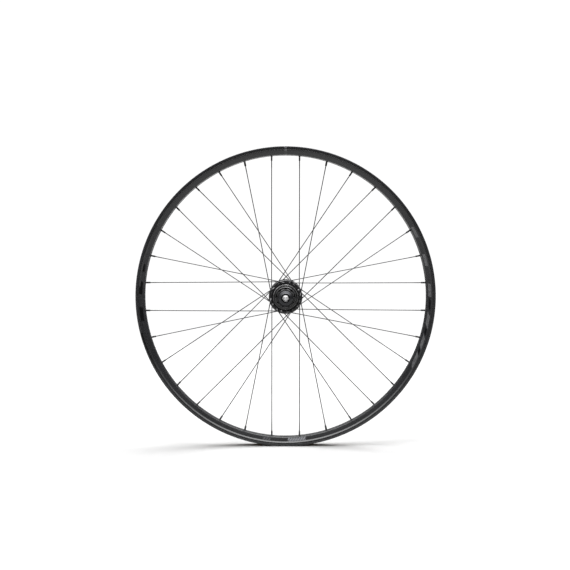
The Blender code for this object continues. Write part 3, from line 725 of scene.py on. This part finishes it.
def rim_outline():
    """Hooked tyre bed, flat sidewall with a groove, a ledge in to the narrower body and a spoke bed."""
    wall, edge = RIM_HALF_WIDTH, RIM_RADIUS
    tyre_bed = [
        (BEAD_SEAT - 3.9, 0.0), (BEAD_SEAT - 3.7, 6.5, 1.4), (BEAD_SEAT - 0.2, 9.6, 0.8),
        (BEAD_SEAT + 0.35, 10.6, 0.5), (BEAD_SEAT - 0.1, 11.6, 0.6), (BEAD_SEAT, 15.2, 0.7),
    ]
    hook = [
        (BEAD_SEAT + 2.9, 15.55, 0.6), (edge - 1.3, 14.75, 0.5), (edge, 15.0, 0.7), (edge, 17.0, 0.7),
        (edge - 1.2, wall, 0.5),
    ]
    groove = [
        (edge - 4.4, wall, 0.2), (edge - 4.8, wall - 1.0, 0.2), (edge - 5.6, wall - 1.0, 0.2),
        (edge - 6.0, wall - 0.1, 0.2),
    ]
    ledge = [(BEAD_SEAT - 0.9, wall - 0.25, 0.3), (BEAD_SEAT - 3.1, wall - 2.4, 0.5)]
    spoke_bed = [(RIM_BED + 1.0, 13.4, 0.25), (RIM_BED + 0.35, 9.0, 1.2), (RIM_BED + 0.1, 3.5, 1.5)]
    return rounded(mirrored(tyre_bed + hook + groove + ledge + spoke_bed))


def rim_angles():
    """Angles of the rim's and the tape's corners, with a flat facet's middle at 0 degrees."""
    return even_angles(RIM_SIDES, 180.0 / RIM_SIDES)


def build_rim(spokes, material):
    shape = turned(rim_outline(), rim_angles())
    rim = add_piece("rim_shell", shape, material, "wheel", ["rim"])
    holes = bmesh.new()
    for spoke in spokes:
        seat, direction = spoke["seat"], spoke["direction"]
        add_bar(holes, seat - direction * 8.0, seat + direction * 3.0, NIPPLE_HOLE_RADIUS)
        add_bar(holes, seat + direction * 4.2, seat + direction * 12.0, ACCESS_HOLE_RADIUS)
    valve = bmesh.new()
    start, end = polar(RIM_BED - 4.0, VALVE_ANGLE), polar(BEAD_SEAT, VALVE_ANGLE)
    add_bar(valve, start, end, VALVE_HOLE_RADIUS, 32)
    carve(rim, [holes, valve])


def build_tape(material):
    """Film over the tyre bed, one closed ring from edge to edge."""
    def face(lift):
        seat = BEAD_SEAT + TAPE_CLEARANCE + lift
        half = [
            (seat - 3.7, 6.3, 1.4), (seat - 0.2, 9.4, 0.9), (seat + 0.35, 10.6, 0.5),
            (seat - 0.1, 11.6, 0.6), (seat, 14.3),
        ]
        return [(radius, -y, *curve) for radius, y, *curve in reversed(half)] + half

    outline = rounded(face(0.0) + list(reversed(face(TAPE_THICKNESS))))
    shape = turned(outline, rim_angles())
    tape = add_piece("bed_tape", shape, material, "wheel", ["rim_tape"])
    valve = bmesh.new()
    start, end = polar(RIM_BED - 4.0, VALVE_ANGLE), polar(BEAD_SEAT + 4.0, VALVE_ANGLE)
    add_bar(valve, start, end, VALVE_SLIT_RADIUS, 32)
    carve(tape, [valve])


# ---------------------------------------------------------------------------------------------- hub

def flange_corners(y):
    low, high = y - FLANGE_HALF_THICKNESS, y + FLANGE_HALF_THICKNESS
    return [(31.4, low, 0.8), (33.4, y - 0.9, 0.9), (33.4, y + 0.9, 0.9), (31.4, high, 0.8)]


def hub_outline():
    """Bell over the ratchet, flanges, waisted barrel and rotor seat, and back through the bore."""
    drive, disc = FLANGE_Y["drive"], FLANGE_Y["disc"]
    mouth = node_box("hub_shell")[0].y
    near, far = ROTOR_SEAT_Y
    bell = [
        (22.1, mouth, 0.25), (22.1, drive - 3.4, 0.3), (23.6, drive - 3.4, 0.2), (25.1, drive - 1.9, 0.2),
        (25.1, drive - 0.4, 0.3), (25.9, drive - 0.4, 0.3), (26.9, drive - 1.6, 0.3),
    ]
    barrel = [
        (27.4, drive + 1.6, 1.2), (19.6, drive + 7.0, 4.0), (16.2, drive + 15.0, 5.0),
        (BARREL_RADIUS, drive + 24.0, 4.0), (BARREL_RADIUS, disc - 20.0, 5.0), (17.0, disc - 11.0, 4.0),
        (27.4, disc - 1.6, 1.2),
    ]
    neck = [
        (27.0, disc + 1.6, 0.4), (26.3, disc + 0.5, 0.5), (NECK_RADIUS, disc + 0.5, 0.9),
        (NECK_RADIUS, near, 0.9),
    ]
    rotor_seat = [
        (ROTOR_SEAT_RADIUS, near, 0.5), (ROTOR_SEAT_RADIUS, far, 0.5), (ROTOR_PILOT_RADIUS, far, 0.25),
        (ROTOR_PILOT_RADIUS, ROTOR_PILOT_END, 0.4), (BEARING_SEAT, ROTOR_PILOT_END, 0.3),
    ]
    bore = [
        (BEARING_SEAT, BEARING_SHOULDER_Y["disc"]), (BARREL_BORE, BEARING_SHOULDER_Y["disc"]),
        (BARREL_BORE, BEARING_SHOULDER_Y["drive"]), (BEARING_SEAT, BEARING_SHOULDER_Y["drive"]),
        (BEARING_SEAT, RATCHET_SHOULDER_Y), (RATCHET_BORE, RATCHET_SHOULDER_Y), (RATCHET_BORE, mouth, 0.3),
    ]
    return rounded(bell + flange_corners(drive) + barrel + flange_corners(disc) + neck + rotor_seat + bore)


def build_hub_shell(spokes, material):
    shape = turned(hub_outline(), even_angles(144))
    shell = add_piece("hub_body", shape, material, "wheel", ["hub_shell"])
    holes = bmesh.new()
    reach = Vector((0, FLANGE_HALF_THICKNESS + 0.6, 0))
    for spoke in spokes:
        add_bar(holes, spoke["flange"] - reach, spoke["flange"] + reach, HUB_HOLE_RADIUS, 20)
    seat = bmesh.new()
    near, far = ROTOR_SEAT_Y[0] - 1.0, ROTOR_SEAT_Y[1] + 1.0
    for bolt in even_angles(6):
        scallop = bolt + 30.0
        for circle, angle, radius, sides in (
            (ROTOR_BOLT_CIRCLE, bolt, ROTOR_BOLT_RADIUS, 24),
            (ROTOR_SCALLOP_CIRCLE, scallop, ROTOR_SCALLOP_RADIUS, 64),
        ):
            add_bar(seat, polar(circle, angle, far), polar(circle, angle, near), radius, sides)
    carve(shell, [holes, seat])


def spline_half_angle(i):
    """Half of a groove's width in degrees: the last of the nine is wider."""
    return WIDE_SPLINE_HALF_ANGLE if i % 9 == 8 else SPLINE_HALF_ANGLE


def spline_section():
    """{angle: radius} round the freehub body's grooves and ridges."""
    ridge, groove = SPLINE_RIDGE, SPLINE_GROOVE
    section = {}
    for i in range(9):
        middle = 90.0 + 40.0 * i
        half = spline_half_angle(i)
        shoulders = ((-half - 0.45, ridge), (-half - 0.1, ridge - 0.05), (-half + 0.1, ridge - 0.28),
                     (-half + 0.75, groove + 0.3), (-half + 1.1, groove + 0.06), (-half + 1.8, groove))
        for offset, radius in shoulders:
            section[middle + offset] = radius
            section[middle - offset] = radius
        flat = half - 1.8
        for k in range(1, 6):
            section[middle - flat + 2 * flat * k / 6] = groove
        start, end = middle + half + 0.45, middle + 40.0 - spline_half_angle(i + 1) - 0.45
        for k in range(1, 8):
            section[start + (end - start) * k / 8] = ridge
    return dict(sorted(section.items()))


def build_freehub(material):
    """Splined body with three turned ring grooves, the cassette's stop and the carrier of the pawls."""
    section = spline_section()
    low, high = node_box("freehub_body")
    end = low.y
    outer_y, inner_y = FREEHUB_BEARING_Y

    def limited(radius):
        return lambda degrees: min(radius, section[degrees])

    outline = [(15.9, end), (limited(16.5), end), (limited(17.0), end + 0.25), (limited(17.3), end + 0.6)]
    for groove_y in (end + 3.2, end + 12.5, end + 21.8):
        for radius, offset in ((SPLINE_RIDGE, 0.75), (RING_GROOVE + 0.15, 0.45), (RING_GROOVE, 0.3)):
            outline.append((limited(radius), groove_y - offset))
        for radius, offset in ((RING_GROOVE, 0.3), (RING_GROOVE + 0.15, 0.45), (SPLINE_RIDGE, 0.75)):
            outline.append((limited(radius), groove_y + offset))
    outline += [
        (limited(SPLINE_RIDGE), STOP_Y - 0.3), (limited(17.3), STOP_Y), (STOP_RADIUS - 0.6, STOP_Y),
        (STOP_RADIUS, STOP_Y + 0.6), (STOP_RADIUS, STOP_BACK_Y - 0.3), (STOP_RADIUS - 0.2, STOP_BACK_Y),
        (17.3, STOP_BACK_Y), (17.3, CARRIER_START_Y), (CARRIER_RADIUS, CARRIER_START_Y),
        (CARRIER_RADIUS, high.y), (FREEHUB_BORE, high.y), (FREEHUB_BORE, inner_y),
        (FREEHUB_BEARING_SEAT, inner_y), (FREEHUB_BEARING_SEAT, outer_y), (SHIELD_RECESS - 0.3, outer_y),
        (SHIELD_RECESS, outer_y - 0.3), (SHIELD_RECESS - 0.3, outer_y - 0.7),
        (SHIELD_RECESS, outer_y - 1.1), (SHIELD_RECESS - 0.2, outer_y - 1.4), (SHIELD_RECESS, end + 0.1),
    ]
    shape = turned(outline, list(section))
    body = add_piece("freehub_driver", shape, material, "freehub", ["freehub_body"])
    carve(body, pawl_pockets(), 30.0)


def pawl_pockets():
    """Three pockets for the pawls and the groove of their spring, as the CAD carrier has them."""
    outside = CARRIER_RADIUS + 0.2
    outline = [(PAWL_SOCKET * math.cos(math.radians(100)), outside)]
    for degrees in range(100, 271, 17):
        corner = polar(PAWL_SOCKET, degrees)
        outline.append((corner.x, corner.z))
    outline += [(PAWL_SOCKET, PAWL_FLOOR), (PAWL_LENGTH, PAWL_FLOOR), (PAWL_LENGTH, outside)]
    pockets = []
    for degrees in (90.0, 210.0, 330.0):
        outwards, along = polar(1.0, degrees), polar(1.0, degrees - 90.0)
        shape = bmesh.new()
        loops = []
        for y in PAWL_POCKET_Y:
            points = [outwards * (PAWL_CIRCLE + height) + along * distance for distance, height in outline]
            loops.append([shape.verts.new((p.x, y, p.z)) for p in points])
        bridge(shape, loops, closed=False)
        pockets.append(shape)
    (inner, outer), (front, back) = SPRING_GROOVE_RADII, SPRING_GROOVE_Y
    groove = turned([(inner, front), (outer, front), (outer, back), (inner, back)], even_angles(96))
    return pockets + [groove]


def build_caps(material):
    """End caps: a stepped nose on the drive side, a grooved nose on the disc side, and dust shields."""
    drive = rounded([
        (CAP_BORE, -CAP_FACE, 0.25), (CAP_RADIUS, -CAP_FACE, 0.35), (CAP_RADIUS, -71.4, 0.25),
        (10.7, -70.5, 0.5), (14.1, -68.6, 0.5), (14.4, -68.2, 0.2), (14.4, -67.2, 0.2), (10.0, -67.2),
        (9.9, -66.6), (CAP_COUNTERBORE, -66.6), (CAP_COUNTERBORE, -68.8), (CAP_BORE, -68.8),
    ])
    disc = rounded([
        (CAP_BORE, CAP_FACE, 0.25), (CAP_RADIUS, CAP_FACE, 0.35), (CAP_RADIUS, 66.6, 0.15),
        (9.1, 66.4, 0.1), (9.1, 65.2, 0.1), (CAP_RADIUS, 65.0, 0.15), (CAP_RADIUS, 61.9, 0.6),
        (16.2, 60.2, 0.4), (16.5, 59.8, 0.2), (16.5, 58.9, 0.2), (9.6, 58.9), (9.6, 57.3),
        (CAP_COUNTERBORE, 57.3), (CAP_COUNTERBORE, 68.8), (CAP_BORE, 68.8),
    ])
    for side, outline in (("drive", drive), ("disc", disc)):
        shape = turned(outline, even_angles(128))
        add_piece(f"{side}_cap", shape, material, "axle", [f"end_cap_{side}"])


def build_axle(material):
    low, high = node_box("axle")
    tube = rounded([
        (AXLE_BORE, low.y, 0.3), (AXLE_RADIUS, low.y, 0.4), (AXLE_RADIUS, high.y, 0.4),
        (AXLE_BORE, high.y, 0.3),
    ])
    add_piece("axle_tube", turned(tube, even_angles(96)), material, "axle", ["axle"])


def build_seal(material):
    """Rubber lip in the hub's mouth, round the freehub."""
    lip = rounded([
        (17.45, -31.2, 0.1), (17.7, -31.35, 0.1), (18.6, -31.2, 0.3), (19.15, -31.0, 0.2), (19.15, -28.8),
        (18.1, -28.8, 0.2), (17.6, -30.2, 0.2),
    ])
    shape = turned(lip, even_angles(96))
    add_piece("mouth_seal", shape, material, "wheel", ["freehub_seal"])


# ------------------------------------------------------------------------------------------- studio

def light_world(world):
    """White backdrop for the camera. Reflections see a studio: bright ceiling, window and dim walls."""
    nodes = Nodes(world.node_tree)
    x, y, z = nodes.split(nodes.node("ShaderNodeTexCoord").outputs["Generated"])
    height = nodes.math("DIVIDE", nodes.math("SUBTRACT", z, CEILING_STARTS), 1.0 - CEILING_STARTS)
    height = nodes.math("MAXIMUM", height, 0.0)
    ceiling = nodes.product(height, height, CEILING_LIGHT)
    window = nodes.span(y, 0.9955, 0.9980, 0.0, WINDOW_LIGHT)  # small and round, straight behind the wheel
    left_wall = nodes.span(x, -0.35, -0.85, 0.0, LEFT_WALL_LIGHT)
    away = nodes.span(y, 0.1, 0.7, 1.0, 0.35)  # the walls are dimmer behind the wheel
    walls = nodes.product(nodes.math("ADD", left_wall, WALL_LIGHT), away)
    studio = nodes.math("ADD", ceiling, nodes.math("ADD", window, walls))
    ray = nodes.node("ShaderNodeLightPath").outputs
    fill = nodes.math("SUBTRACT", 1.0, nodes.product(ray["Is Diffuse Ray"], 1.0 - FILL_SHARE))
    lit = nodes.product(studio, fill)
    mixed = nodes.node("ShaderNodeMix", {0: ray["Is Camera Ray"], 2: lit, 3: BACKDROP_LIGHT})
    background = world.node_tree.nodes["Background"]
    nodes.feed(background.inputs["Color"], (1.0, 1.0, 1.0))
    nodes.feed(background.inputs["Strength"], mixed.outputs[0])


def build_floor():
    bpy.ops.mesh.primitive_plane_add(size=FLOOR_SIZE, location=(0, 0, cad_bounds[0][2]))
    floor = bpy.context.object
    floor.name = "floor"
    look = Surface("pale_floor", Roughness=0.9, Specular_IOR_Level=0.0)
    look.colour(look.mix(look.noise(6.0), (0.268, 0.268, 0.268), (0.274, 0.274, 0.274)))
    floor.data.materials.append(look.material)


def build_studio():
    build_floor()
    world = bpy.data.worlds.new("studio")
    bpy.context.scene.world = world
    world.use_nodes = True
    light_world(world)
    for name, energy, width, direction in SUNS:
        lamp = bpy.data.lights.new(name, "SUN")
        lamp.energy = energy
        lamp.angle = math.radians(width)
        light = bpy.data.objects.new(name, lamp)
        light.rotation_euler = Vector(direction).to_track_quat("-Z", "Y").to_euler()
        light.visible_glossy = False
        bpy.context.scene.collection.objects.link(light)
    bpy.context.scene.view_settings.view_transform = "Standard"
    bpy.context.scene.view_settings.look = "None"


def build_camera():
    camera = bpy.data.cameras.new("camera")
    camera.lens = LENS
    camera.sensor_width = 36.0
    camera.clip_end = 50.0
    eye = bpy.data.objects.new("camera", camera)
    eye.location = CAMERA_PLACE
    eye.rotation_euler = (Vector(CAMERA_AIM) - eye.location).to_track_quat("-Z", "Y").to_euler()
    bpy.context.scene.collection.objects.link(eye)
    bpy.context.scene.camera = eye


# ------------------------------------------------------------------------------------------- making

def dress_cad_nodes(rubber):
    """Inner pieces keep their CAD shape and get a worked metal or rubber finish."""
    steel = bare_steel("bearing_race_steel", (0.56, 0.56, 0.57), 0.24)
    hardened = bare_steel("hardened_ratchet_steel", (0.22, 0.21, 0.20), 0.36)
    alloy = turned_alloy("plain_spacer_alloy", (0.30, 0.30, 0.31), (0.42, 0.42, 0.43), 0.34, metallic=1.0)
    for name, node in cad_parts.items():
        if node.hide_render:
            continue
        if "cage" in name:
            finish = rubber
        elif "bearing" in name or name == "pawl_spring":
            finish = steel
        elif name.startswith("pawl") or name == "ratchet_ring":
            finish = hardened
        else:
            finish = alloy
        node.data.materials.clear()
        node.data.materials.append(finish)


def build_spokes(spokes):
    wire = coated_wire()
    alloy = turned_alloy("black_nipple_alloy", (0.004, 0.004, 0.0045), (0.008, 0.008, 0.009), worn=0.12)
    for spoke in spokes:
        build_spoke(spoke, wire)
        build_nipple(spoke, alloy)


def build_hub(spokes, rubber):
    # The hub has painted shade in its bell's mouth and recess, and painted highlights on edge rings of the
    # bell and the flanges
    build_hub_shell(spokes, turned_alloy(
        "black_hub_alloy", (0.0022, 0.0022, 0.0025), (0.0050, 0.0050, 0.0056), 0.20, worn=0.10,
        painted_shade_and_dark_bands=((23.6, -33.0, -20.0),), edges=((23.7, 25.0, -22.2), (33.0, 33.4, 100.0))))
    # The freehub has painted shadows down its grooves and a painted highlight on the edge of the cassette's
    # stop
    build_freehub(turned_alloy(
        "dark_freehub_alloy", (0.019, 0.019, 0.0195), (0.032, 0.032, 0.033), 0.24, metallic=0.7, worn=0.08,
        painted_groove_shadows=((16.6, 19.5, -32.5),), edges=((19.9, 20.5, -32.5),)))
    # The drive cap has a dark band on its nose round the bore, and a painted highlight on its shield's edge
    build_caps(turned_alloy(
        "slate_cap_alloy", (0.019, 0.0195, 0.0215), (0.030, 0.031, 0.034), 0.20, metallic=0.7, worn=0.08,
        painted_shade_and_dark_bands=((8.8, -74.8, -73.5),), edges=((14.2, 14.4, -60.0),)))
    build_axle(turned_alloy(
        "grey_axle_alloy", (0.72, 0.72, 0.73), (0.82, 0.82, 0.83), 0.20, metallic=1.0, worn=0.1))
    build_seal(rubber)


def main():
    build_camera()
    build_studio()
    spokes = spoke_layout()
    rubber = black_rubber()
    build_spokes(spokes)
    build_rim(spokes, rim_finish())
    build_tape(tape_film())
    build_hub(spokes, rubber)
    dress_cad_nodes(rubber)


main()
